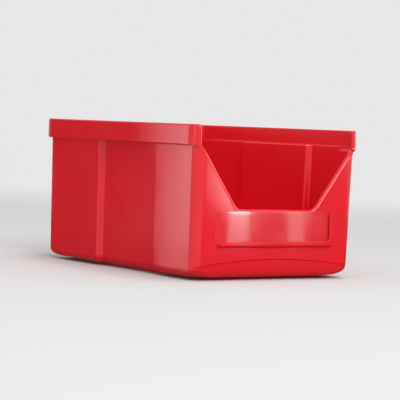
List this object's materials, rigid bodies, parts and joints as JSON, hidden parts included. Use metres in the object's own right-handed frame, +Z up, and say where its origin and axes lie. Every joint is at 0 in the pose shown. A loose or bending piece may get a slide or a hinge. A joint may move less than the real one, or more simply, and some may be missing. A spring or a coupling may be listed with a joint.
{
  "type": "hanging parts bin",
  "caption": "Small open-front plastic parts bin with a rear rail that hangs on a louvred panel, and a clear strip in its label holder.",
  "frame": {"origin": "middle of the bin's overall plan, at the height of the foot ring it stands on", "axes": "+Z up, +X to the right as seen from the open front, +Y towards the back wall and its hanging rail, so the open front faces -Y"},
  "size_m": [0.102, 0.146, 0.075],
  "materials": {
    "red_plastic": "moulded polypropylene, semi-gloss",
    "clear_plastic": "clear, glossy sheet"
  },
  "bodies": {
    "shell": {"bin_shell": "red_plastic"},
    "cover": {"label_cover": "clear_plastic"}
  },
  "joints": [
    {"name": "cover_slide", "type": "slide", "parent": "shell", "child": "cover", "axis": [0, 0, 1], "range_m": [0, 0.016]}
  ]
}
